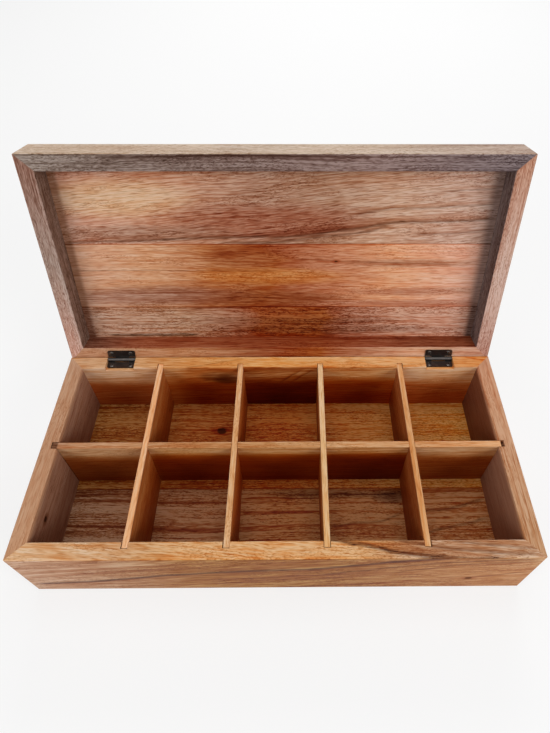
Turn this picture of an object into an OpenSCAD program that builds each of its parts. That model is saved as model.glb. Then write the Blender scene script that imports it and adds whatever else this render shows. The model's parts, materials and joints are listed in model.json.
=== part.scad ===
// Tea bag organizer box: mitred base with ten compartments under a deep hinged lid.
// The lid stands open on its stop. +X runs left to right, +Y to the back, +Z up.
// The origin is the middle of the base's footprint, on the surface it stands on.

/* [Case] */
// Outside length of the box, left to right
box_length = 380; // [300:1:440]
// Outside depth of the box, front to back
box_depth = 182; // [150:1:220]
// Height of the base, from the table to the rim
base_height = 67; // [50:0.5:85]
// Height of the lid, from its mating edge to its top
lid_height = 28; // [22:0.5:40]
// Thickness of the base walls and the lid rails
wall_t = 13; // [12:0.5:16]
// Radius on the outer edges and corners
edge_round = 1.5; // [0.6:0.1:3]
// Radius on the lid's mating edges and the inner edge of the rim
rim_round = 0.6; // [0.3:0.1:1]
// Gap between the rim and the closed lid
lid_gap = 0.2; // [0.1:0.05:0.5]

/* [Boards] */
// Thickness of the floor boards
floor_t = 9.5; // [6:0.5:12]
// Thickness of the lid boards
lid_board_t = 10; // [6:0.5:12]
// How far the boards reach under the walls, in a rabbet
rabbet = 6; // [3:0.5:8]
// Play left around the boards in their rabbet
board_play = 0.2; // [0.1:0.05:0.5]
// Glue line between the floor boards, in front of the middle
floor_seam = 11; // [0:1:40]
// Glue line between the lid's front and middle boards, in front of the middle
lid_front_seam = 13.5; // [5:0.5:30]
// Glue line between the lid's middle and rear boards, behind the middle
lid_rear_seam = 46; // [20:0.5:50]

/* [Dividers] */
// Thickness of the long divider
long_divider_t = 5.4; // [4:0.1:7]
// Thickness of the four cross dividers
cross_divider_t = 4.5; // [3:0.1:7]
// Depth of the wall grooves that hold the dividers' ends
groove_depth = 5; // [3:0.5:6]
// Play across a divider in its groove
groove_play = 0.7; // [0.4:0.1:1.2]
// Gap past each end of a cross divider in its groove
cross_end_gap = 0.5; // [0.2:0.1:1.5]
// Gap past the left end of the long divider in its groove
long_left_gap = 0.8; // [0.2:0.1:1.5]
// Gap past the right end of the long divider in its groove
long_right_gap = 3; // [0.2:0.1:3.5]
// Play across and above each half-lap where two dividers cross
lap_play = 0.4; // [0.2:0.1:0.8]
// How far the dividers stay below the rim
divider_drop = 0.2; // [0:0.1:2]
// Radius on the dividers' top edges
divider_round = 0.5; // [0.2:0.1:1.2]

/* [Hinges] */
// Length of a hinge along its pin
hinge_length = 24.4; // [20:0.2:32]
// Middle of each hinge, in from the end of the box
hinge_inset = 46; // [35:1:80]
// Reach of a leaf from the pin's axis
leaf_reach = 8.5; // [7.5:0.1:9.5]
// Thickness of a leaf
leaf_t = 1; // [0.8:0.1:1.2]
// Radius on a leaf's corners
leaf_round = 1.5; // [0.5:0.1:2.5]
// Diameter of the hinge barrel
barrel_d = 3.8; // [3.6:0.1:4.6]
// Gap between the barrel and the wood above and below it
barrel_gap = 0.1; // [0.05:0.05:0.3]
// Pin's axis, in from the back face of the box
hinge_setback = 1.6; // [1.2:0.1:1.8]
// Diameter of the hinge pin
pin_d = 1.8; // [1.4:0.1:2]
// Radial play of the pin in its knuckles
pin_play = 0.03; // [0.02:0.01:0.08]
// Share of the hinge's length taken by its middle knuckle
middle_share = 0.5; // [0.3:0.05:0.6]
// Gap between two knuckles
knuckle_gap = 0.2; // [0.1:0.05:0.4]
// Gap between a knuckle and the opposite leaf
leaf_clearance = 0.3; // [0.2:0.1:0.6]
// Play at each end of a hinge in its notch
notch_play = 0.5; // [0.2:0.1:1.5]
// Gap between the base's rounded rim and the lid as it swings past
swing_gap = 0.1; // [0.05:0.01:0.1]
// Gap between the lid's edge and the back wall when the lid stands open
stop_gap = 0.03; // [0.02:0.01:0.1]

/* [Screws] */
// Distance between the two screws of a leaf
screw_spacing = 16.8; // [13:0.2:18]
// Distance from the pin's axis to the screws
screw_reach = 5.8; // [5:0.1:6]
// Length of a screw, with its head
screw_length = 10; // [6:0.5:14]
// Diameter of a screw's shank
screw_d = 2; // [1.6:0.1:2.2]
// Diameter of a screw's head
screw_head_d = 3.6; // [3:0.1:4]
// Height of the dome on a screw's head
screw_dome = 0.3; // [0.1:0.05:0.4]
// Radial play of a screw in its leaf and pilot hole
screw_play = 0.05; // [0.02:0.01:0.1]
// Width of the cross slot in a screw's head
slot_width = 0.5; // [0.4:0.05:0.7]
// Length of the cross slot in a screw's head
slot_length = 2.2; // [1.6:0.1:2.6]
// Depth of the cross slot in a screw's head
slot_depth = 0.5; // [0.3:0.05:0.6]

/* [Hidden] */

$fn = 48;
over = 1;                                   // how far a cutter runs past a face
cross_count = 4;                            // cross dividers, one node each
lean = [1, 1, 0, -1];                       // side of its groove each cross divider leans to
lean_share = 0.8;                           // share of the free play that a lean takes up

inner_length = box_length - 2 * wall_t;
inner_depth = box_depth - 2 * wall_t;
cell_length = (inner_length - cross_count * cross_divider_t) / (cross_count + 1);
divider_top = base_height - divider_drop;
lap_z = (floor_t + divider_top) / 2;        // height where the half-laps meet

// The hinge: both wood faces lie the same distance from the pin's axis
seat = barrel_d / 2 + barrel_gap;
lid_z = base_height + lid_gap;              // mating face of the closed lid
axis_y = box_depth / 2 - hinge_setback;
axis_z = lid_z - seat;
notch_floor = axis_z - seat;
hinge_x = box_length / 2 - hinge_inset;
middle_length = hinge_length * middle_share;

// The base's outer rim is rounded enough for the lid's mating face to turn about it
swing_reach = seat - swing_gap;
rim_above_axis = seat - lid_gap;
swing_sum = hinge_setback + rim_above_axis - swing_reach;
swing_rest = pow(hinge_setback, 2) + pow(rim_above_axis, 2) - pow(swing_reach, 2);
swing_round = swing_sum - sqrt(pow(swing_sum, 2) - swing_rest);

// The lid stops where the rounded edge of its back rail meets the back wall
stop_y = hinge_setback - rim_round;
stop_z = seat + rim_round;
stop_reach = hinge_setback + rim_round + stop_gap;
open_angle = atan2(stop_z, stop_y) + acos(stop_reach / norm([stop_y, stop_z]));

// Where the middle of cross divider i stands
function groove_x(i) = (i - (cross_count - 1) / 2) * (cell_length + cross_divider_t);
function divider_x(i) = groove_x(i) + lean[i] * lean_share * groove_play / 2;

// ---- shared shapes ----

// What rounding a square corner at the origin takes away
module corner_waste(radius) {
    difference() {
        translate([-over, -over]) square(radius + over);
        translate([radius, radius]) circle(radius);
    }
}

// Rectangle in the first quadrant with the named radii: bottom left, top left, top right
module eased_rectangle(width, height, bottom_left, top_left, top_right) {
    difference() {
        square([width, height]);
        corner_waste(bottom_left);
        translate([0, height]) mirror([0, 1]) corner_waste(top_left);
        translate([width, height]) rotate(180) corner_waste(top_right);
    }
}

// Cross-section of a wall: x runs inwards from its outer face, y up to its mating edge
module wall_profile(height, board_t, outer_rim) {
    difference() {
        eased_rectangle(wall_t, height, edge_round, outer_rim, rim_round);
        translate([wall_t - rabbet, -over]) square([rabbet + over, board_t + over]);
    }
}

// Plan of a wall that lies along the front of a frame, mitred at both ends
module mitred_plan(span, across) {
    intersection() {
        translate([-span / 2, -across / 2])
            eased_rectangle(span, across, edge_round, edge_round, edge_round);
        mirror([1, 0]) translate([-span / 2, -across / 2])
            eased_rectangle(span, across, edge_round, edge_round, edge_round);
        polygon([
            [-span / 2 - over, -across / 2 - over],
            [span / 2 + over, -across / 2 - over],
            [span / 2 - wall_t, -across / 2 + wall_t],
            [-span / 2 + wall_t, -across / 2 + wall_t]
        ]);
    }
}

// A mitred wall along the front of a frame, its mating edge up
module wall(span, across, height, board_t, outer_rim) {
    intersection() {
        translate([-span / 2, -across / 2, 0]) rotate([90, 0, 90])
            linear_extrude(span) wall_profile(height, board_t, outer_rim);
        linear_extrude(height) mitred_plan(span, across);
    }
}

// Walls of the base and rails of the lid, by the side that they stand on
module base_wall(side) {
    turned = side == "left" || side == "right";
    turn = side == "front" ? 0 : side == "right" ? 90 : side == "back" ? 180 : 270;
    rotate(turn)
        wall(turned ? box_depth : box_length, turned ? box_length : box_depth,
            base_height, floor_t, swing_round);
}

module lid_rail(side) {
    turned = side == "left" || side == "right";
    turn = side == "front" ? 0 : side == "left" ? 90 : side == "back" ? 180 : 270;
    translate([0, 0, lid_z + lid_height]) rotate([180, 0, 180]) rotate(turn)
        wall(turned ? box_depth : box_length, turned ? box_length : box_depth,
            lid_height, lid_board_t, rim_round);
}

// Turns what is drawn in the closed lid's place to where the open lid stands
module opened() {
    translate([0, axis_y, axis_z]) rotate([-open_angle, 0, 0])
        translate([0, -axis_y, -axis_z]) children();
}

// A board of the floor or lid between two depths, its underside at z
module board(from_y, to_y, z, thickness) {
    length = inner_length + 2 * (rabbet - board_play);
    translate([-length / 2, from_y, z]) cube([length, to_y - from_y, thickness]);
}

board_edge = inner_depth / 2 + rabbet - board_play;

// ---- base ----

// Grooves for the cross dividers, in the front and back walls
module cross_grooves() {
    width = cross_divider_t + groove_play;
    reach = inner_depth / 2 + groove_depth;
    for (i = [0 : cross_count - 1])
        translate([groove_x(i) - width / 2, -reach, floor_t])
            cube([width, 2 * reach, base_height]);
}

// Groove for the long divider, in the left and right walls
module long_groove() {
    width = long_divider_t + groove_play;
    reach = inner_length / 2 + groove_depth;
    translate([-reach, -width / 2, floor_t]) cube([2 * reach, width, base_height]);
}

module front_wall() {
    color("#c08a55") difference() {
        base_wall("front");
        cross_grooves();
    }
}

module back_wall() {
    notch = hinge_length + 2 * notch_play;
    color("#c8925a") difference() {
        base_wall("back");
        cross_grooves();
        for (x = [-hinge_x, hinge_x]) {
            translate([x - notch / 2, box_depth / 2 - wall_t - over, notch_floor])
                cube([notch, wall_t + 2 * over, base_height]);
            at_screws(x) translate([0, 0, -seat - screw_length])
                cylinder(r = screw_d / 2 + screw_play, h = screw_length + over);
        }
    }
}

module left_wall() {
    color("#bd8253") difference() {
        base_wall("left");
        long_groove();
    }
}

module right_wall() {
    color("#b97f52") difference() {
        base_wall("right");
        long_groove();
    }
}

module front_floor_board() {
    color("#8a5730") board(-board_edge, -floor_seam, 0, floor_t);
}

module rear_floor_board() {
    color("#94602f") board(-floor_seam, board_edge, 0, floor_t);
}

// ---- dividers ----

// Cross-section of a divider on its middle line, its top edges eased
module divider_profile(thickness) {
    height = divider_top - floor_t;
    translate([-thickness / 2, 0]) difference() {
        square([thickness, height]);
        translate([0, height]) mirror([0, 1]) corner_waste(divider_round);
        translate([thickness, height]) rotate(180) corner_waste(divider_round);
    }
}

module long_divider() {
    left = -inner_length / 2 - groove_depth + long_left_gap;
    right = inner_length / 2 + groove_depth - long_right_gap;
    slot = cross_divider_t + lap_play;
    color("#d29a60") difference() {
        translate([left, 0, floor_t]) rotate([90, 0, 90])
            linear_extrude(right - left) divider_profile(long_divider_t);
        for (i = [0 : cross_count - 1])
            translate([divider_x(i) - slot / 2, -long_divider_t, lap_z - lap_play / 2])
                cube([slot, 2 * long_divider_t, base_height]);
    }
}

module cross_divider(i) {
    reach = inner_depth / 2 + groove_depth - cross_end_gap;
    slot = long_divider_t + lap_play;
    color("#d8a066") translate([divider_x(i), 0, floor_t]) difference() {
        translate([0, reach, 0]) rotate([90, 0, 0])
            linear_extrude(2 * reach) divider_profile(cross_divider_t);
        translate([-cross_divider_t, -slot / 2, -over])
            cube([2 * cross_divider_t, slot, lap_z + lap_play / 2 - floor_t + over]);
    }
}

// ---- lid ----

module lid_front_rail() {
    color("#8f6242") opened() lid_rail("front");
}

module lid_back_rail() {
    color("#b67a55") opened() difference() {
        lid_rail("back");
        for (x = [-hinge_x, hinge_x])
            at_screws(x) translate([0, 0, seat - over])
                cylinder(r = screw_d / 2 + screw_play, h = screw_length + over);
    }
}

module lid_left_rail() {
    color("#8d5f40") opened() lid_rail("left");
}

module lid_right_rail() {
    color("#96684a") opened() lid_rail("right");
}

module lid_board(from_y, to_y) {
    opened() board(from_y, to_y, lid_z + lid_height - lid_board_t, lid_board_t);
}

module lid_front_board() {
    color("#8a6a55") lid_board(-board_edge, -lid_front_seam);
}

module lid_middle_board() {
    color("#9a4f22") lid_board(-lid_front_seam, lid_rear_seam);
}

module lid_rear_board() {
    color("#8c5230") lid_board(lid_rear_seam, board_edge);
}

// ---- hinges ----

// Stands what follows at each of a leaf's two screws, at the height of the pin's axis
module at_screws(x) {
    for (side = [-1, 1])
        translate([x + side * screw_spacing / 2, axis_y - screw_reach, axis_z]) children();
}

// Plan of a leaf, its knuckle edge on the x axis
module leaf_plan() {
    translate([-hinge_length / 2, -leaf_reach]) difference() {
        square([hinge_length, leaf_reach]);
        corner_waste(leaf_round);
        translate([hinge_length, 0]) mirror([1, 0]) corner_waste(leaf_round);
    }
}

// Widths along the pin that the middle knuckle, or the two end knuckles, take up
module knuckle_zone(middle, grow) {
    half = middle_length / 2;
    end = (hinge_length - middle_length) / 2 + grow;
    radius = barrel_d / 2 + leaf_clearance;
    if (middle)
        translate([-half - grow, -radius, -radius]) cube([2 * (half + grow), 2 * radius, 2 * radius]);
    else
        for (side = [0, 1]) mirror([side, 0, 0])
            translate([half - grow, -radius, -radius]) cube([end + over, 2 * radius, 2 * radius]);
}

// A leaf below the pin's axis, with its middle knuckle or its two end knuckles
module leaf(middle) {
    bore = pin_d / 2 + pin_play;
    difference() {
        union() {
            difference() {
                translate([0, 0, -seat]) linear_extrude(leaf_t) leaf_plan();
                knuckle_zone(!middle, knuckle_gap);
            }
            intersection() {
                translate([-hinge_length / 2, 0, 0]) rotate([0, 90, 0])
                    cylinder(d = barrel_d, h = hinge_length);
                knuckle_zone(middle, 0);
            }
        }
        translate([-hinge_length / 2 - over, 0, 0]) rotate([0, 90, 0])
            cylinder(r = bore, h = hinge_length + 2 * over);
        for (side = [-1, 1])
            translate([side * screw_spacing / 2, -screw_reach, -seat]) screw_seat();
    }
}

// Hole through a leaf with the countersink for a screw's head
module screw_seat() {
    radius = screw_d / 2 + screw_play;
    head = screw_head_d / 2 + screw_play;
    translate([0, 0, -over]) cylinder(r = radius, h = leaf_t + 2 * over);
    cylinder(r1 = radius, r2 = head, h = leaf_t);
    translate([0, 0, leaf_t]) cylinder(r = head, h = over);
}

module base_leaf(x) {
    color("#26221f") translate([x, axis_y, axis_z]) leaf(false);
}

module lid_leaf(x) {
    color("#26221f") opened() translate([x, axis_y, axis_z]) mirror([0, 0, 1]) leaf(true);
}

module hinge_pin(x) {
    color("#2e2a27") translate([x - hinge_length / 2, axis_y, axis_z]) rotate([0, 90, 0])
        cylinder(d = pin_d, h = hinge_length);
}

// A countersunk screw, its head up, from the seat that its leaf lies on
module screw() {
    tip = screw_d;
    head = screw_head_d / 2;
    dome_r = (head * head + screw_dome * screw_dome) / (2 * screw_dome);
    translate([0, 0, leaf_t]) difference() {
        union() {
            translate([0, 0, tip - screw_length]) cylinder(d = screw_d, h = screw_length - tip);
            translate([0, 0, -screw_length]) cylinder(d1 = screw_d / 4, d2 = screw_d, h = tip);
            translate([0, 0, -leaf_t]) cylinder(r1 = screw_d / 2, r2 = head, h = leaf_t);
            intersection() {
                translate([0, 0, screw_dome - dome_r]) sphere(dome_r);
                cylinder(r = head, h = screw_dome + over);
            }
        }
        for (turn = [0, 90]) rotate(turn)
            translate([-slot_length / 2, -slot_width / 2, screw_dome - slot_depth])
                cube([slot_length, slot_width, slot_depth + over]);
    }
}

module base_hinge_screws() {
    color("#3a3531") for (x = [-hinge_x, hinge_x])
        at_screws(x) translate([0, 0, -seat]) screw();
}

module lid_hinge_screws() {
    color("#3a3531") opened() for (x = [-hinge_x, hinge_x])
        at_screws(x) translate([0, 0, seat]) mirror([0, 0, 1]) screw();
}

front_wall();
back_wall();
left_wall();
right_wall();
front_floor_board();
rear_floor_board();
long_divider();
cross_divider(0);  // cross_divider_1
cross_divider(1);  // cross_divider_2
cross_divider(2);  // cross_divider_3
cross_divider(3);  // cross_divider_4
lid_front_rail();
lid_back_rail();
lid_left_rail();
lid_right_rail();
lid_front_board();
lid_middle_board();
lid_rear_board();
base_leaf(-hinge_x);  // left_hinge_base_leaf
base_leaf(hinge_x);  // right_hinge_base_leaf
lid_leaf(-hinge_x);  // left_hinge_lid_leaf
lid_leaf(hinge_x);  // right_hinge_lid_leaf
hinge_pin(-hinge_x);  // left_hinge_pin
hinge_pin(hinge_x);  // right_hinge_pin
base_hinge_screws();
lid_hinge_screws();
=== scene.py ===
import json
import math

import bpy
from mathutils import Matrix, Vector

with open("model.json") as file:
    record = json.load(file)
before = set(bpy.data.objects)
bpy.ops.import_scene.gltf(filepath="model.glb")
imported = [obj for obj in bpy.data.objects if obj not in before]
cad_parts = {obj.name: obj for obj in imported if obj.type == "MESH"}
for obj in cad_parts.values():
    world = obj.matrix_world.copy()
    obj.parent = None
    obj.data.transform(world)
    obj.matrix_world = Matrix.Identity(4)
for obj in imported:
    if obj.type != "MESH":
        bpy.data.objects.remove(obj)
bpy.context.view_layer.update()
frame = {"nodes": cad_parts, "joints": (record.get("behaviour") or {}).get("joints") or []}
print("frame loaded:", len(frame["nodes"]), "pieces")

scene = bpy.context.scene
mmPerMetre = 1000
hinge = frame["joints"][0]
openAngle = math.radians(hinge["range_deg"][1])         # how far the lid stands open at rest
pinY = hinge["pos_m"][1] * mmPerMetre
pinZ = hinge["pos_m"][2] * mmPerMetre


def linear(code):
    # "#rrggbb" to the linear colour that a shader wants, by the usual screen curve
    parts = [int(code[i:i + 2], 16) / 255 for i in (1, 3, 5)]
    return tuple(p / 12.92 if p <= 0.04045 else ((p + 0.055) / 1.055) ** 2.4 for p in parts) + (1.0,)


def grey(level):
    return (level,) * 3 + (1.0,)


def dress(piece, material):
    piece.data.materials.clear()
    piece.data.materials.append(material)


class Value:
    # one socket that can stand in a formula: every sum or product adds its Math node

    def __init__(self, finish, socket):
        self.finish = finish
        self.socket = socket

    def maths(self, operation, *values):
        return self.finish.node("ShaderNodeMath", {"operation": operation}, dict(enumerate(values)))

    def __add__(self, other):
        return self.maths("ADD", self, other)

    def __sub__(self, other):
        return self.maths("SUBTRACT", self, other)

    def __rsub__(self, other):
        return self.maths("SUBTRACT", other, self)

    def __mul__(self, other):
        return self.maths("MULTIPLY", self, other)

    def __truediv__(self, other):
        return self.maths("DIVIDE", self, other)

    def __pow__(self, other):
        return self.maths("POWER", self, other)

    def __abs__(self):
        return self.maths("ABSOLUTE", self)

    __radd__ = __add__
    __rmul__ = __mul__

    def fraction(self):
        return self.maths("FRACT", self)

    def most(self, other):
        return self.maths("MAXIMUM", self, other)

    def rise(self, start, end):
        # 0 before start, 1 after end and smooth between; a start above the end makes it fall
        if start > end:
            return 1 - self.rise(end, start)
        values = {"Value": self, "From Min": start, "From Max": end}
        return self.finish.node("ShaderNodeMapRange", {"interpolation_type": "SMOOTHSTEP"}, values)


class Finish:
    # the nodes of one material, or of the world
    seedSteps = (7.31, 3.17, 5.93)                      # how far one seed moves a noise, in its spots
    curveMargin = 1                                     # room above and below a drawn line

    def __init__(self, owner):
        owner.use_nodes = True
        self.tree = owner.node_tree
        self.tree.nodes.clear()

    def node(self, kind, settings=None, values=None, output=0):
        made = self.tree.nodes.new(kind)
        for name, setting in (settings or {}).items():
            if name == "stops":
                self.setStops(made.color_ramp, setting)
            elif name == "between":
                made.color_ramp.interpolation = setting
            else:
                setattr(made, name, setting)
        for name, value in (values or {}).items():
            if isinstance(value, Value):
                self.tree.links.new(value.socket, made.inputs[name])
            else:
                made.inputs[name].default_value = value
        return Value(self, made.outputs[output]) if made.outputs else made

    def setStops(self, bar, stops):
        while len(bar.elements) < len(stops):
            bar.elements.new(0.5)
        for element, (at, colour) in zip(bar.elements, stops):
            element.position = at
            element.color = colour

    def vector(self, x, y, z):
        return self.node("ShaderNodeCombineXYZ", {}, {0: x, 1: y, 2: z})

    def split(self, vector):
        made = self.node("ShaderNodeSeparateXYZ", {}, {0: vector}).socket.node
        return [Value(self, out) for out in made.outputs]

    def noise(self, place, size, seed, detail=1.0, rough=0.5):
        # cloudy pattern whose spots are this long, wide and deep
        shift = [seed * step for step in self.seedSteps]
        scale = [1 / s for s in size]
        moved = self.node("ShaderNodeMapping", {}, {"Vector": place, "Location": shift, "Scale": scale})
        values = {"Vector": moved, "Scale": 1.0, "Detail": detail, "Roughness": rough}
        return self.node("ShaderNodeTexNoise", {}, values)

    def mix(self, factor, under, over):
        return self.node("ShaderNodeMix", {"data_type": "RGBA"}, {0: factor, 6: under, 7: over}, output=2)

    def ramp(self, place, stops, between="LINEAR"):
        return self.node("ShaderNodeValToRGB", {"stops": stops, "between": between}, {0: place})

    def curve(self, place, points):
        # a smooth line through points (place, height), drawn as the greys of a ramp
        places, heights = zip(*points)
        low = min(heights) - self.curveMargin
        span = max(heights) - min(heights) + 2 * self.curveMargin
        reach = places[-1] - places[0]
        stops = [((at - places[0]) / reach, grey((height - low) / span)) for at, height in points]
        between = "CARDINAL" if len(points) > 2 else "LINEAR"
        return self.ramp((place - places[0]) / reach, stops, between) * span + low

    def surface(self, **values):
        named = {name.replace("_", " "): value for name, value in values.items()}
        shader = self.node("ShaderNodeBsdfPrincipled", {}, named)
        self.node("ShaderNodeOutputMaterial", {}, {"Surface": shader})


# Wood, in millimetres of the closed box. What all boards share: a mark's "size" is how long,
# wide and deep the spots of its noise are, its "edges" are where in that noise it begins and
# is full, and its "rest" is the part of it that leaves the colour as it is.
timber = {
    "wander": {"seed": 0, "size": (150, 60, 60)},
    "wave": {"seed": 1, "size": (24, 12, 12)},
    "curl": {"seed": 2, "size": (60, 12, 12), "edges": (0.62, 0.72), "more": 0.25},
    "ripple": {"seed": 3, "size": (3.4, 5, 5), "detail": 1.5, "height": 1.8, "into": 0.5},
    "band": {"seed": 4, "size": (240, 1, 1.5), "detail": 2, "rough": 0.6, "edges": (0.32, 0.68), "rest": 0.5},
    "ringSway": {"seed": 5, "size": (200, 14, 60), "height": 2.4},
    "ring": {"seed": 6, "size": (90, 9, 20), "edges": (0.42, 0.62), "rest": 0.2, "lateEdge": (1.0, 0.92)},
    "fibre": {"seed": 7, "size": (1, 1, 1), "detail": 2, "rough": 0.65, "edges": (0.28, 0.72), "rest": 0.5},
    "dash": {"seed": 8, "size": (1, 1, 1), "edges": (0.50, 0.72), "rest": 0.3, "deepen": 0.6, "ink": 0.3},
    "fleck": {"seed": 9, "size": (2.4, 1, 1), "edges": (0.50, 0.68)},
    "line": {"seed": 10, "size": (130, 1, 1), "detail": 2, "rough": 0.6, "edges": (0.46, 0.68), "rest": 0.3},
    "rag": {"seed": 20, "size": (3, 2, 2), "height": 0.7},
    "knotBend": {"stretch": 2.6, "edges": (4.0, 0.3), "pull": 0.55},
    "knotRing": {"edges": (3.0, 0.9), "deepen": 0.5},
    "knotCore": {"edges": (1.15, 0.7), "colour": "#2a1308", "rough": 0.4},
    "spot": {"edges": (1.6, 0.0), "strength": 0.8},
    "seam": {"edges": (0.9, 0.1), "deepen": 0.7},
    "toneSway": 60,                                     # how far the bands push the tones along
    "palest": -0.35,                                    # a colour goes no paler than this
    "rough": {"fibre": 0.16, "dash": 0.15},
    "relief": {"strength": 0.5, "height": 0.00012, "fibre": 0.5},
    "specular": 0.08,
}

# A drawn line, dark at its heart, with a soft shade along one side.
plainVein = {
    "drift": 0.4,                                       # how much of the grain's own drift it follows
    "width": 1.0, "heart": 0.2,                         # the heart is a part of the width
    "line": 0.7, "fray": 2.6,                           # how dark it is, and how the fibres fray it
    "whole": 0.6, "pores": 0.5,                         # its darkness between the pores and in them
    "soft": 5.0, "shade": 0.3, "side": 1,
    "edge": (-0.6, 0.2),                                # where the soft shade begins
    "ends": (3, 9),                                     # it fades from this far outside to this far inside
}
plainKnot = {"stretch": 1.6, "strength": 0.9}

# A board's own dictionary changes what differs from this plain one; "grain" names the axes
# along, across and into the board.
plainBoard = {
    "grain": "xyz",
    "seed": 1,
    "tones": [(-190, "#c08a60"), (190, "#c08a60")],     # colour at places along the board
    "band": 18.0, "bandDepth": 0.30,                    # broad darker and lighter bands
    "ring": 8.0, "ringDepth": 0.25,                     # growth rings, dark at one edge
    "line": 2.2, "lineDepth": 0.25,                     # long thin lines
    "fibre": 0.20, "fibreSize": (18.0, 1.0),            # fine streaks
    "dash": 0.45, "dashSize": (10.0, 0.7),              # open pores
    "wander": 4.0, "wave": 0.8, "curl": 0.4,            # how the grain drifts, waves and curls
    "slope": (0.0, 0.0),                                # rise of the grain along and into the board
    "ink": "#3d2213",                                   # colour of veins
    "rough": 0.42,
    "patches": [], "shades": [], "spots": [],           # painted in this order
    "veins": [], "knots": [], "seams": [],
}


class Board:
    # The wood of one board. Its depth makes the colour deeper where it is above 0 and paler below.

    def __init__(self, name, look, turned):
        self.look = {**plainBoard, **look}
        self.material = bpy.data.materials.new(name)
        self.finish = Finish(self.material)
        self.axes = dict(zip("xyz", self.closedPlace(openAngle if turned else 0.0)))
        self.along, self.across, self.into = (self.axes[k] for k in self.look["grain"])
        self.raw = self.finish.vector(self.along, self.across, self.into)
        self.bendGrain()
        self.markGrain()
        self.drawVeins()
        self.paint()
        self.drawKnots()
        self.drawSeams()
        self.lacquer()

    def closedPlace(self, angle):
        # x, y and z in millimetres, turned about the hinge pin by this angle, which shuts the lid
        c, s = math.cos(angle), math.sin(angle)
        return self.finish.split(self.finish.node("ShaderNodeMapping", {}, {
            "Vector": self.finish.node("ShaderNodeTexCoord", output="Object"),
            "Location": (0, pinY - (c * pinY - s * pinZ), pinZ - (s * pinY + c * pinZ)),
            "Rotation": (angle, 0, 0),
            "Scale": (mmPerMetre,) * 3}))

    def noise(self, place, name, long=1.0, wide=1.0):
        mark = timber[name]
        size = [spot * by for spot, by in zip(mark["size"], (long, wide, wide))]
        seed = self.look["seed"] + mark["seed"]
        return self.finish.noise(place, size, seed, mark.get("detail", 1.0), mark.get("rough", 0.5))

    def near(self, at, reach):
        # 0 at a place on the board and 1 at the edge of the oval that reaches this far from it
        return ((self.along - at[0]) / reach[0]) ** 2 + ((self.flow - at[1]) / reach[1]) ** 2

    def bendGrain(self):
        # the grain bends round knots, then drifts and waves; curl moves only the fine marks
        look, bend, curl, ripple = self.look, timber["knotBend"], timber["curl"], timber["ripple"]
        self.bent = self.across
        for knot in look["knots"]:
            at, middle = knot["at"]
            far = ((self.along - at) / (knot["size"] * bend["stretch"])) ** 2
            far = far + ((self.bent - middle) / knot["size"]) ** 2
            self.bent = self.bent - (self.bent - middle) * far.rise(*bend["edges"]) * bend["pull"]
        wander = self.noise(self.raw, "wander") - 0.5
        wave = self.noise(self.raw, "wave") - 0.5
        self.shift = wander * (look["wander"] * 2) + wave * (look["wave"] * 2)
        self.flow = self.bent + self.shift
        self.height = self.flow - self.along * look["slope"][0] - self.into * look["slope"][1]
        self.tilted = self.finish.vector(self.along, self.height, self.into)
        edges = [edge - look["curl"] * curl["more"] for edge in curl["edges"]]
        self.curled = self.noise(self.tilted, "curl").rise(*edges)
        lift = (self.noise(self.raw, "ripple") - 0.5) * self.curled * (look["curl"] * ripple["height"])
        self.fine = self.finish.vector(self.along, self.height + lift, self.into + lift * ripple["into"])

    def markGrain(self):
        # broad bands, growth rings, long lines, fine fibres and open pores
        look = self.look
        band, ring, line, fibre, dash = (timber[k] for k in ("band", "ring", "line", "fibre", "dash"))
        self.bands = self.noise(self.tilted, "band", wide=look["band"])
        self.depth = (self.bands.rise(*band["edges"]) - band["rest"]) * look["bandDepth"]
        sway = self.noise(self.tilted, "ringSway") * timber["ringSway"]["height"]
        saw = (self.height / look["ring"] + sway).fraction()
        late = saw ** 3 * saw.rise(*ring["lateEdge"]) - ring["rest"]
        rings = late * self.noise(self.tilted, "ring").rise(*ring["edges"])
        self.depth = self.depth + rings * look["ringDepth"]
        lines = self.noise(self.tilted, "line", wide=look["line"]).rise(*line["edges"])
        self.depth = self.depth + (lines - line["rest"]) * look["lineDepth"]
        self.fibres = self.noise(self.fine, "fibre", *look["fibreSize"])
        self.depth = self.depth + (self.fibres.rise(*fibre["edges"]) - fibre["rest"]) * look["fibre"]
        self.dashes = self.noise(self.fine, "dash", *look["dashSize"]).rise(*dash["edges"])
        flecks = self.noise(self.fine, "fleck", wide=look["dashSize"][1]).rise(*timber["fleck"]["edges"])
        pores = self.dashes + flecks * self.curled
        self.depth = self.depth + (pores - dash["rest"]) * (look["dash"] * dash["deepen"])
        self.inked = pores * (look["dash"] * dash["ink"])

    def drawVeins(self):
        for vein in ({**plainVein, **own} for own in self.look["veins"]):
            line = self.bent + self.shift * vein["drift"] - self.finish.curve(self.along, vein["path"])
            if "dip" in vein:
                # a vein can climb into the board: where it is drawn, and how steeply it climbs
                drawn, steep = vein["dip"]
                line = line - (self.into - drawn) * steep
            start, end = vein["path"][0][0], vein["path"][-1][0]
            outside, inside = vein["ends"]
            ends = self.along.rise(start - outside, start + inside)
            ends = ends * self.along.rise(end + outside, end - inside)
            frayed = abs(line) - self.fibres * vein["fray"] + vein["fray"] / 2
            heart = frayed.rise(vein["width"], vein["width"] * vein["heart"])
            ink = heart * (self.dashes * vein["pores"] + vein["whole"]) * ends * vein["line"]
            self.inked = self.inked.most(ink)
            side = line * vein["side"]
            fade = side.rise(vein["soft"], 0.0) * side.rise(*vein["edge"])
            self.depth = self.depth + fade * ends * vein["shade"]

    def paintOvals(self, ovals):
        spot = timber["spot"]
        for oval in ovals:
            cover = self.near(oval["at"], oval["reach"]).rise(*spot["edges"])
            cover = cover * oval.get("strength", spot["strength"])
            self.colour = self.finish.mix(cover, self.colour, linear(oval["colour"]))

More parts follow.
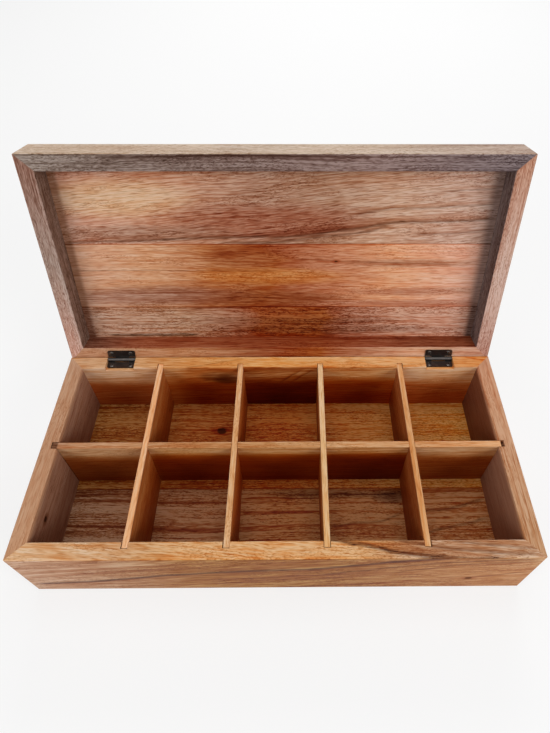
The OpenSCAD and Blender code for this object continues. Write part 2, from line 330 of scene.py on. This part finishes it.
    def paint(self):
        tones = self.look["tones"]
        first, last = tones[0][0], tones[-1][0]
        stops = [((at - first) / (last - first), linear(code)) for at, code in tones]
        place = self.along + (self.bands - 0.5) * timber["toneSway"]
        self.colour = self.finish.ramp((place - first) / (last - first), stops)
        self.paintOvals(self.look["patches"])
        # the shades give some faces a colour of their own, and also paint shade where less light falls: a
        # darker, redder colour, or deepen that darkens it further
        for shade in self.look["shades"]:
            # "x": (start, end) fades in from start to end; two more numbers fade it out again
            mask = 1.0
            for axis in "xyz":
                edges = shade.get(axis, ())
                for start, end in zip(edges[::2], edges[1::2]):
                    mask = self.axes[axis].rise(start, end) * mask
            if "colour" in shade:
                cover = mask * shade.get("strength", 1.0)
                self.colour = self.finish.mix(cover, self.colour, linear(shade["colour"]))
            if "calm" in shade:
                self.depth = self.depth * (1 - mask * shade["calm"])
            self.depth = self.depth + mask * shade.get("deepen", 0.0)
        self.paintOvals(self.look["spots"])

    def drawKnots(self):
        ring, core, rag = timber["knotRing"], timber["knotCore"], timber["rag"]
        self.cores = []
        for knot in ({**plainKnot, **own} for own in self.look["knots"]):
            ragged = (self.noise(self.raw, "rag") - 0.5) * rag["height"]
            far = self.near(knot["at"], (knot["size"] * knot["stretch"], knot["size"])) ** 0.5 + ragged
            self.depth = self.depth + far.rise(*ring["edges"]) * ring["deepen"]
            self.cores.append(far.rise(*core["edges"]) * knot["strength"])

    def drawSeams(self):
        seam = timber["seam"]
        for at in self.look["seams"]:
            self.depth = self.depth + abs(self.across - at).rise(*seam["edges"]) * seam["deepen"]

    def lacquer(self):
        # the deepened colour, then ink and knots over it, under a satin lacquer
        finish, core, rough, relief = self.finish, timber["knotCore"], timber["rough"], timber["relief"]
        gamma = self.depth.most(timber["palest"]) + 1
        colour = finish.node("ShaderNodeGamma", {}, {"Color": self.colour, "Gamma": gamma})
        colour = finish.mix(self.inked, colour, linear(self.look["ink"]))
        roughness = (self.fibres - 0.5) * rough["fibre"] + self.dashes * rough["dash"] + self.look["rough"]
        for knot in self.cores:
            colour = finish.mix(knot, colour, linear(core["colour"]))
            roughness = roughness + knot * core["rough"]
        normal = finish.node("ShaderNodeBump", {}, {
            "Strength": relief["strength"], "Distance": relief["height"],
            "Height": self.fibres * relief["fibre"] - self.dashes})
        finish.surface(Base_Color=colour, Roughness=roughness, Normal=normal,
                       Specular_IOR_Level=timber["specular"])


# Faces of the box for the shades: a shade is 0 at the first number and full at the second.
wallTop = (66.1, 66.8)
backInside = (79.0, 78.3)
leftInside, leftOutside = (-178.0, -177.2), (-189.2, -189.9)
rightInside, rightOutside = (178.0, 177.2), (189.2, 189.9)
underDividerTop = (66.8, 65.0)
lidFront, lidBackInside = (-90.1, -90.8), (78.6, 77.9)
railTop, boardTop = (91, 94), (88, 93)
lidOutside = {"colour": "#a9744e", "strength": 0.75}
lidSide = {"colour": "#a57352", "strength": 0.75}
# Painted shadow: darker, calmer strips on the lid boards' inside face beside the side rails.
lidRailShadows = [
    {"x": (-168.5, -173), "z": (88, 87), "colour": "#986a50", "strength": 0.9, "calm": 0.5},
    {"x": (166, 174), "z": (88, 87), "colour": "#846b62", "strength": 0.9, "calm": 0.5},
]

baseBoards = {
    "front_wall": {
        "grain": "xzy", "seed": 11, "slope": (0.12, 0.9), "curl": 0.7, "line": 5.0, "lineDepth": 0.45,
        "dash": 0.6, "dashSize": (12.0, 0.9), "fibre": 0.66, "fibreSize": (26.0, 1.6), "ink": "#43190a",
        "tones": [(-190, "#cb9b7a"), (-60, "#a66a2d"), (40, "#9f6125"), (190, "#c38550")],
        "shades": [
            {"z": wallTop, "x": (-60, -140), "colour": "#e3b385"},
            {"z": wallTop, "x": (-140, -60, 120, 50), "colour": "#e4a568"},
            {"z": wallTop, "x": (50, 120), "colour": "#c69672"},
            {"y": (-90.2, -90.9), "calm": 0.2},
        ],
        "knots": [{"at": (145, 21.7), "size": 1.3, "stretch": 2.2, "strength": 0.8}],
        "veins": [
            {"path": [(-186, 15.5), (-127, 23), (-88, 32), (-57, 37), (-28, 41), (-2, 43), (31, 46),
                      (49, 51), (66, 55), (80, 60), (110, 66), (150, 70)],
             "dip": (-91, 1.3), "width": 3.4, "soft": 16, "side": -1, "line": 1.0, "shade": 0.5},
            {"path": [(30, 33), (50, 38.5), (67, 43), (85, 49), (110, 56), (150, 62), (186, 64)],
             "dip": (-91, 1.3), "width": 3.0, "soft": 8, "side": -1, "line": 0.55, "shade": 0.4},
            {"path": [(86, 37), (96, 40.5), (113, 46), (129, 53), (147, 56), (186, 60)],
             "dip": (-91, 1.2), "width": 2.4, "soft": 6, "side": -1, "line": 0.5, "shade": 0.25},
            {"path": [(52, 51), (70, 56), (83, 58.5), (103, 62.5), (118, 65), (131, 66.8), (161, 67)],
             "dip": (-91, 1.5), "width": 1.4, "soft": 4, "side": 1, "line": 0.9, "shade": 0.2},
            {"path": [(146, 24), (168, 30), (186, 36)], "dip": (-91, 1.0), "width": 2.2, "soft": 5,
             "line": 0.45},
        ],
    },
    "back_wall": {
        "grain": "xzy", "seed": 12, "slope": (0.05, 0.5), "bandDepth": 0.4, "lineDepth": 0.36, "curl": 0.1,
        "dash": 0.5, "dashSize": (12.0, 0.8), "fibre": 0.55, "fibreSize": (24.0, 1.2),
        "tones": [(-190, "#cb8f5f"), (0, "#ecb16d"), (190, "#d87930")],
        "shades": [
            # The back wall's inside face: painted shade makes the three middle cells darker and redder, the
            # centre cell darkest, and every cell darker towards the floor; the two end cells are painted
            # paler and greyer as a painted reflection.
            {"y": backInside, "x": (-115, -75, 130, 70), "colour": "#c17235", "strength": 0.85},
            {"y": backInside, "x": (-42, -32, 42, 32), "colour": "#984712", "strength": 0.75},
            {"y": backInside, "x": (-105, -120), "colour": "#e0ab7e"},
            {"y": backInside, "x": (105, 120), "colour": "#e3a874"},
            {"y": backInside, "z": (56, 34), "deepen": 0.45},
            {"y": backInside, "z": (60, 42), "x": (-118, -90, 125, 85), "deepen": 0.8},
            {"y": backInside, "z": (50, 38), "x": (-95, -118), "deepen": 1.15},
            {"y": backInside, "z": (50, 38), "x": (95, 118), "deepen": 0.85},
            {"y": (90.2, 90.8), "colour": "#b07a4e", "strength": 0.8},
        ],
        "spots": [
            {"at": (-57, 55), "reach": (18, 8), "colour": "#6c2c0c", "strength": 0.6},
            {"at": (-49, 51), "reach": (13, 7), "colour": "#521a08", "strength": 0.6},
        ],
        "veins": [
            {"path": [(-112, 70.5), (-30, 61)], "dip": (78, 0.6), "width": 0.7, "soft": 4, "line": 0.35,
             "shade": 0.2},
            {"path": [(-2, 44), (8, 53), (16, 60), (22, 64)], "width": 1.8, "soft": 5, "line": 0.5,
             "shade": 0.4},
            {"path": [(8, 44), (18, 53), (26, 60), (32, 64)], "width": 1.8, "soft": 5, "line": 0.4,
             "shade": 0.4},
            {"path": [(54, 60.5), (110, 68.5)], "dip": (78, 0.6), "width": 0.6, "soft": 4, "line": 0.3,
             "shade": 0.2},
            {"path": [(110, 40), (178, 30)], "width": 1.0, "soft": 5, "line": 0.4},
        ],
    },
    "left_wall": {
        "grain": "yzx", "seed": 13, "bandDepth": 0.15, "ringDepth": 0.05, "lineDepth": 0.15, "dash": 0.3,
        "fibre": 0.24,
        "tones": [(-91, "#c6926d"), (91, "#c59675")],
        "shades": [
            # Painted shade: the inside face is painted greyer and darker than the rim, and darker towards the
            # floor.
            {"x": leftInside, "z": (66, 60), "colour": "#9c7159"},
            {"x": leftInside, "z": (60, 20), "deepen": 0.15},
        ],
        "knots": [{"at": (-54, 49.5), "size": 1.5}],
    },
    "right_wall": {
        "grain": "yzx", "seed": 14, "fibre": 0.3, "lineDepth": 0.34, "dash": 0.35,
        "tones": [(-91, "#ba855c"), (91, "#bf7c58")],
        "shades": [
            # Painted shade: the inside face is painted darker and calmer than the rim, and darker again in
            # the back cell.
            {"x": rightInside, "z": (66, 62), "colour": "#9d7058", "calm": 0.7},
            {"x": rightInside, "z": (66, 60), "y": (-10, 10), "deepen": 0.5},
            {"x": rightOutside, "colour": "#b37c56", "strength": 0.8},
        ],
    },
    "front_floor_board": {
        "grain": "xyz", "seed": 15, "line": 2.2, "lineDepth": 0.7, "ring": 9, "ringDepth": 0.4, "curl": 0.9,
        "fibre": 0.75, "fibreSize": (11.0, 1.0), "dash": 0.6, "dashSize": (6.0, 0.8), "band": 7.0,
        "bandDepth": 0.7, "ink": "#2c1408",
        "tones": [(-190, "#a06e4c"), (0, "#b05e26"), (190, "#bd7540")],
        "patches": [
            {"at": (98, -18), "reach": (20, 7), "colour": "#4c1f0c", "strength": 0.85},
            {"at": (40, -16), "reach": (50, 5), "colour": "#6a3416", "strength": 0.7},
        ],
        "veins": [
            {"path": [(112, -33.5), (126, -31.4), (143, -30.3), (161, -25.9), (178, -22)],
             "width": 2.6, "soft": 7, "side": 1, "line": 0.6, "shade": 0.3},
            {"path": [(112, -54), (130, -48.8), (145, -45.8), (164, -41.6), (178, -38)],
             "width": 2.4, "soft": 6, "side": 1, "line": 0.6, "shade": 0.25},
            {"path": [(40, -46), (60, -43), (86, -40.8), (106, -33)],
             "width": 2.0, "soft": 6, "side": -1, "line": 0.5, "shade": 0.3},
        ],
        "seams": [-11],
    },
    "rear_floor_board": {
        "grain": "xyz", "seed": 16, "line": 2.0, "lineDepth": 0.5, "curl": 0.8,
        "fibre": 0.75, "fibreSize": (11.0, 1.0), "dash": 0.75, "dashSize": (6.0, 0.8), "band": 7.0,
        "bandDepth": 0.4,
        "tones": [(-190, "#a9682b"), (0, "#c05512"), (190, "#ea9c42")],
        "knots": [{"at": (-56, 47), "size": 2.4, "stretch": 1.9, "strength": 0.85}],
        "seams": [-11],
    },
    "long_divider": {
        "grain": "xzy", "seed": 17, "lineDepth": 0.34, "fibre": 0.34, "slope": (0.03, 0.2), "dash": 0.4,
        "tones": [(-190, "#b07c5c"), (-165, "#c5885d"), (0, "#cf9560"), (190, "#e6a772")],
        "shades": [
            # Painted shade, down to the last but one entry: the sides below the top edge get darker, redder
            # colours and grow darker towards the floor, most in the middle cells.
            {"z": underDividerTop, "colour": "#c89362", "strength": 0.8},
            {"z": underDividerTop, "x": (-115, -90, 118, 100), "colour": "#d09458", "strength": 0.8},
            {"z": underDividerTop, "x": (36, 44, 112, 104), "colour": "#b0672c", "strength": 0.4},
            {"z": (60, 40), "deepen": 0.4},
            {"z": (57, 44), "deepen": 0.6},
            {"z": (57, 46), "x": (-106, -118), "deepen": 0.3},
            {"z": (57, 46), "x": (108, 118), "deepen": 0.35},
            {"z": (60, 52), "x": (-112, -100, 118, 108), "deepen": 1.1},
            {"x": (-176.4, -177.6), "colour": "#6b4028"},
        ],
    },
}
# Each cross divider: the colour of its top edge, and a darker colour painted on its sides as painted shade.
for number, (top, face) in enumerate((("#f9c08e", "#a9591d"), ("#e8b17c", "#a84e10"),
                                      ("#ecb87e", "#a5561c"), ("#e5ab74", "#9c4d1c")), 1):
    baseBoards["cross_divider_" + str(number)] = {
        "grain": "yzx", "seed": 17 + number, "dash": 0.5, "fibre": 0.34, "lineDepth": 0.34, "curl": 0.1,
        "tones": [(-91, top), (91, top)],
        # Painted shade: the sides take the darker face colour, grow darker towards the floor, and darker at
        # the back end where it sits in the groove.
        "shades": [
            {"z": (66.8, 64.5), "colour": face, "strength": 0.95, "calm": 0.3},
            {"z": (60, 25), "deepen": 0.45},
            {"y": (80, 83), "deepen": 0.4},
        ],
    }
lidBoards = {
    "lid_front_rail": {
        "grain": "xyz", "seed": 31, "line": 1.4, "lineDepth": 0.4, "curl": 0.9, "bandDepth": 0.3,
        "fibre": 0.42, "fibreSize": (8.0, 0.9), "dash": 0.6, "dashSize": (5.0, 0.7),
        # Partly the wood's own colour and partly painted reflection: the grey cast of the face that meets the
        # box.
        "tones": [(-190, "#837267"), (-60, "#715a51"), (60, "#775c55"), (190, "#594c4e")],
        "shades": [
            {"y": lidFront, "colour": "#c5a98f"},
            {"y": lidFront, "x": (40, 170), "colour": "#a68772"},
            {"z": railTop, "y": (-90.4, -89.6), **lidOutside},
        ],
        "veins": [{"path": [(-130, -89.4), (70, -89.4)], "width": 1.6, "soft": 4, "line": 0.5}],
    },
    "lid_back_rail": {
        "grain": "xyz", "seed": 32, "lineDepth": 0.34, "fibre": 0.34, "dash": 0.4, "dashSize": (10.0, 0.8),
        "tones": [(-190, "#c08c6a"), (-90, "#bb7d52"), (0, "#863412"), (30, "#923f12"), (120, "#d59973"),
                  (190, "#c08c73")],
        "shades": [
            # Painted shade: the rail's inside face is painted dark, darker still towards both ends.
            {"y": lidBackInside, "colour": "#883112", "strength": 0.95},
            {"y": lidBackInside, "x": (-120, -172), "colour": "#5a3020", "strength": 0.9},
            {"y": lidBackInside, "x": (60, 150), "colour": "#6a2a10", "strength": 0.8},
            {"z": railTop, **lidOutside},
            {"y": (89.8, 90.7), **lidOutside},
        ],
    },
    "lid_left_rail": {
        "grain": "yxz", "seed": 33, "line": 1.2, "lineDepth": 0.4, "curl": 0.8, "wander": 2.0,
        "fibre": 0.4, "fibreSize": (8.0, 0.8), "dash": 0.6, "dashSize": (5.0, 0.7),
        # Partly the wood's own colour and partly painted reflection: the grey cast of the face that meets the
        # box.
        "tones": [(-91, "#8e6555"), (0, "#9a7f71"), (91, "#d4a390")],
        "shades": [
            # Painted shade: the rail's inside face is painted dark.
            {"x": leftInside, "colour": "#694c3e"},
            {"z": railTop, **lidOutside},
            {"x": leftOutside, **lidSide},
        ],
    },
    "lid_right_rail": {
        "grain": "yxz", "seed": 34, "line": 1.2, "lineDepth": 0.3, "curl": 0.8, "wander": 2.0,
        "fibre": 0.35, "fibreSize": (8.0, 0.8), "dash": 0.55, "dashSize": (5.0, 0.7),
        # Partly the wood's own colour and partly painted reflection: the grey cast of the face that meets the
        # box.
        "tones": [(-91, "#b17a5f"), (0, "#c79f8d"), (91, "#b27c6a")],
        "shades": [
            # Painted shade: the rail's inside face is painted dark.
            {"x": rightInside, "colour": "#5b4945"},
            {"z": railTop, **lidOutside},
            {"x": rightOutside, **lidSide},
        ],
    },
    "lid_front_board": {
        "grain": "xyz", "seed": 35, "slope": (-0.08, 0.0), "ringDepth": 0.10, "bandDepth": 0.2, "curl": 0.4,
        "line": 1.6, "lineDepth": 0.34, "fibre": 0.56, "fibreSize": (14.0, 0.9), "dash": 0.7,
        "dashSize": (9.0, 0.7),
        # Partly the wood's own colour and partly painted reflection: the tones and patches are paler and
        # greyer towards the ends.
        "tones": [(-180, "#d09a81"), (-90, "#cc8f6d"), (-20, "#b17f64"), (40, "#b18164"), (90, "#cc9d7f"),
                  (180, "#cca390")],
        "patches": [
            {"at": (-130, -52), "reach": (60, 16), "colour": "#e2b488"},
            {"at": (-150, -80), "reach": (40, 8), "colour": "#a07060", "strength": 0.5},
            {"at": (-10, -32), "reach": (90, 16), "colour": "#94492c"},
            {"at": (-110, -22), "reach": (70, 8), "colour": "#a07058"},
        ],
        "veins": [
            {"path": [(-178, -14.6), (-138, -15.8), (-115, -16.2), (-92, -17.6), (-69, -18.4), (-40, -19),
                      (-3, -20)],
             "width": 2.0, "soft": 7, "side": -1, "line": 0.7, "shade": 0.35},
            {"path": [(-50, -14.2), (-3, -14.8), (27, -18.4), (59, -21.5), (79, -24.9), (92, -29.2)],
             "width": 1.8, "soft": 4, "side": -1, "line": 0.6, "shade": 0.25},
            {"path": [(-10, -18.2), (20, -20.5), (43, -23.3), (72, -27.3), (92, -31.2), (124, -32.6),
                      (155, -33.7), (178, -35.1)],
             "width": 2.1, "soft": 9, "side": -1, "line": 0.7, "shade": 0.5},
            {"path": [(60, -37.5), (71, -39.6), (91, -42.8), (115, -43.4), (138, -45), (176, -47)],
             "width": 1.8, "soft": 6, "side": -1, "line": 0.45, "shade": 0.35},
            {"path": [(110, -22), (145, -23), (178, -26)], "width": 1.6, "soft": 4, "side": -1,
             "line": 0.5},
            {"path": [(130, -57), (178, -60)], "width": 1.0, "soft": 4, "side": -1, "line": 0.45,
             "shade": 0.15},
        ],
        "shades": [
            *lidRailShadows,
            {"z": boardTop, **lidOutside},
        ],
        "seams": [-13.5],
    },
    "lid_middle_board": {
        "grain": "xyz", "seed": 36, "bandDepth": 0.2, "curl": 0.3, "line": 1.6, "lineDepth": 0.28,
        "fibre": 0.42, "fibreSize": (14.0, 0.9), "dash": 0.5, "dashSize": (9.0, 0.7),
        # Partly the wood's own colour and partly painted reflection: the tones and patches are paler and
        # greyer towards the ends.
        "tones": [(-180, "#dba788"), (-110, "#d99f75"), (-60, "#b56a3a"), (-10, "#983f12"), (50, "#c47953"),
                  (100, "#e7a478"), (180, "#e6ac94")],
        "patches": [
            {"at": (-110, 36), "reach": (80, 10), "colour": "#96604c"},
            {"at": (-30, -2), "reach": (36, 10), "colour": "#8e3f18"},
            {"at": (-10, 16), "reach": (70, 8), "colour": "#cc7a38"},
            {"at": (-10, 38), "reach": (70, 9), "colour": "#8a421c", "strength": 0.75},
            {"at": (110, 4), "reach": (60, 4), "colour": "#b27252"},
            {"at": (120, 30), "reach": (60, 4), "colour": "#bc7a5c"},
            {"at": (110, 42), "reach": (70, 4), "colour": "#b87458"},
        ],
        "veins": [
            {"path": [(-178, 10.5), (0, 10.8)], "width": 0.9, "soft": 3, "line": 0.4, "shade": 0.1},
            {"path": [(10, 0), (30, 0.2), (48, 1.6), (80, 3), (150, 5)], "width": 1.1, "soft": 4,
             "line": 0.35, "shade": 0.2},
        ],
        "knots": [{"at": (48.3, 1.7), "size": 0.7, "stretch": 2.6, "strength": 0.75}],
        "shades": [
            *lidRailShadows,
            {"z": boardTop, **lidOutside},
        ],
        "seams": [-13.5, 46],
    },
    "lid_rear_board": {
        "grain": "xyz", "seed": 37, "bandDepth": 0.3, "curl": 0.8, "line": 1.7, "lineDepth": 0.5,
        "fibre": 0.66, "fibreSize": (14.0, 0.9), "dash": 0.8, "dashSize": (8.0, 0.7),
        # Partly the wood's own colour and partly painted reflection: the tones are paler and greyer towards
        # the ends.
        "tones": [(-180, "#c5967b"), (-90, "#bb8866"), (-20, "#8e3912"), (40, "#913d12"), (110, "#d09577"),
                  (180, "#d7a087")],
        "shades": [
            # Painted shadow: darker, calmer strips beside the side rails, and a darker band along the back
            # rail.
            {"x": (-168.5, -173), "z": (88, 87), "colour": "#7a4c38", "strength": 0.9, "calm": 0.5},
            {"x": (168, 174), "colour": "#5c4640", "strength": 0.9, "calm": 0.5},
            {"y": (74.5, 76.5), "deepen": 0.3},
            {"z": boardTop, **lidOutside},
        ],
        "patches": [
            {"at": (10, 60), "reach": (90, 4), "colour": "#6c2c0c", "strength": 0.6},
            {"at": (40, 69), "reach": (110, 5), "colour": "#6c2c0c", "strength": 0.6},
        ],
        "veins": [
            # The first vein is a painted shadow line along the back rail.
            {"path": [(-160, 75.8), (-120, 75.8), (-74, 75.5)], "drift": 0.0, "width": 2.4, "soft": 2,
             "line": 1.0},
            {"path": [(-150, 64.5), (-40, 63)], "width": 1.2, "soft": 3, "line": 0.4, "shade": 0.2},
        ],
        "seams": [46],
    },
}

for name, look in {**baseBoards, **lidBoards}.items():
    board = Board(name.replace("_", " "), look, turned=name in lidBoards)
    dress(frame["nodes"][name], board.material)
print("boards finished:", len(baseBoards) + len(lidBoards))


steel = {
    "plates": {"colour": "#4c4846", "worn": "#6b6058", "rough": 0.30},
    "screws": {"colour": "#625d59", "worn": "#5a5450", "rough": 0.24},
    "wear": {"size": 0.004, "seed": 3, "detail": 3, "rough": 0.6, "edges": (0.5, 0.75), "strength": 0.5,
             "dull": 0.15, "polish": 0.07},
}


def hingeSteel(name, look):
    wear = steel["wear"]
    material = bpy.data.materials.new(name)
    f = Finish(material)
    place = f.node("ShaderNodeTexCoord", output="Object")
    spots = f.noise(place, (wear["size"],) * 3, wear["seed"], wear["detail"], wear["rough"])
    cover = spots.rise(*wear["edges"]) * wear["strength"]
    colour = f.mix(cover, linear(look["colour"]), linear(look["worn"]))
    roughness = spots * wear["dull"] + look["rough"] - wear["polish"]
    f.surface(Base_Color=colour, Metallic=1.0, Roughness=roughness)
    return material


plateSteel = hingeSteel("blackened hinge steel", steel["plates"])
screwSteel = hingeSteel("worn screw steel", steel["screws"])
for name, node in frame["nodes"].items():
    if "hinge" in name:
        dress(node, screwSteel if "screws" in name else plateSteel)
print("hinges finished")


# Floor, light and camera, in metres
studio = {
    "floor": 0.80, "floorSize": 12,
    "floorSeen": 0.25, "floorGlow": 0.72,               # the floor as the camera sees it
    "fade": (1.2, 3.5),                                 # where it melts into the room
    "room": 0.17, "roomSeen": 0.95,
    "aim": (0, 0, 0.08),
    "boxes": {
        "left soft box": {"place": (-1.20, -1.00, 0.85), "size": (0.9, 0.9), "power": 11.0},
        "right soft box": {"place": (1.25, -0.95, 0.90), "size": (0.9, 0.9), "power": 15.0},
        "rear soft box": {"place": (0.20, 1.50, 0.95), "size": (1.4, 0.7), "power": 13.0},
        "top soft box": {"place": (0.00, 0.10, 1.50), "size": (1.0, 1.0), "power": 6.5},
    },
}
white = grey(1.0)


def seenPlainly(f):
    # 1 for rays from the camera and for those that metal, gloss or glass sends on
    rays = f.node("ShaderNodeLightPath").socket.node.outputs
    kinds = ("Is Camera Ray", "Is Glossy Ray", "Is Transmission Ray")
    camera, glossy, through = (Value(f, rays[kind]) for kind in kinds)
    return camera.most(glossy).most(through)


def paleFloor():
    bpy.ops.mesh.primitive_plane_add(size=studio["floorSize"], location=(0, 0, 0))
    floor = bpy.context.object
    floor.name = "floor"
    material = bpy.data.materials.new("pale floor")
    f = Finish(material)
    lit = f.node("ShaderNodeBsdfDiffuse", {}, {"Color": grey(studio["floor"])})
    seen = f.node("ShaderNodeBsdfDiffuse", {}, {"Color": grey(studio["floorSeen"])})
    glow = f.node("ShaderNodeEmission", {}, {"Color": white, "Strength": studio["floorGlow"]})
    both = f.node("ShaderNodeAddShader", {}, {0: seen, 1: glow})
    x, y = f.split(f.node("ShaderNodeTexCoord", output="Object"))[:2]
    away = ((x ** 2 + y ** 2) ** 0.5).rise(*studio["fade"])
    plain = f.node("ShaderNodeEmission", {}, {"Color": white, "Strength": studio["roomSeen"]})
    faded = f.node("ShaderNodeMixShader", {}, {0: away, 1: both, 2: plain})
    shown = f.node("ShaderNodeMixShader", {}, {0: seenPlainly(f), 1: lit, 2: faded})
    f.node("ShaderNodeOutputMaterial", {}, {"Surface": shown})
    dress(floor, material)


def roomLight():
    world = bpy.data.worlds.new("room")
    scene.world = world
    f = Finish(world)
    soft = f.node("ShaderNodeBackground", {}, {"Strength": studio["room"]})
    seen = f.node("ShaderNodeBackground", {}, {"Color": white, "Strength": studio["roomSeen"]})
    shown = f.node("ShaderNodeMixShader", {}, {0: seenPlainly(f), 1: soft, 2: seen})
    f.node("ShaderNodeOutputWorld", {}, {"Surface": shown})


def softBox(name, look):
    lamp = bpy.data.lights.new(name, "AREA")
    lamp.shape = "RECTANGLE"
    lamp.size, lamp.size_y = look["size"]
    lamp.energy = look["power"]
    box = bpy.data.objects.new(name, lamp)
    scene.collection.objects.link(box)
    box.location = look["place"]
    aim = Vector(studio["aim"]) - box.location
    box.rotation_euler = aim.to_track_quat("-Z", "Y").to_euler()


paleFloor()
roomLight()
for name, look in studio["boxes"].items():
    softBox(name, look)

shot = {
    "place": (0.013858, -0.215515, 0.443673),
    "turn": (39.2008, -0.2767, -0.4542),                # degrees
    "picture": (550, 733),                              # this and the next two are pixels
    "focus": 532.766, "axis": (300.360, 355.751),       # focal length, and where the lens points
    "sensor": 36,                                       # millimetres along the picture's longer side
    "nearest": 0.01,
}
wide, tall = shot["picture"]
camera = bpy.data.objects.new("camera", bpy.data.cameras.new("camera"))
scene.collection.objects.link(camera)
camera.location = shot["place"]
camera.rotation_euler = [math.radians(a) for a in shot["turn"]]
camera.data.lens = shot["focus"] / tall * shot["sensor"]
camera.data.shift_x = (wide / 2 - shot["axis"][0]) / tall
camera.data.shift_y = (shot["axis"][1] - tall / 2) / tall
camera.data.clip_start = shot["nearest"]
scene.camera = camera
scene.view_settings.view_transform = "Standard"
print("studio ready")
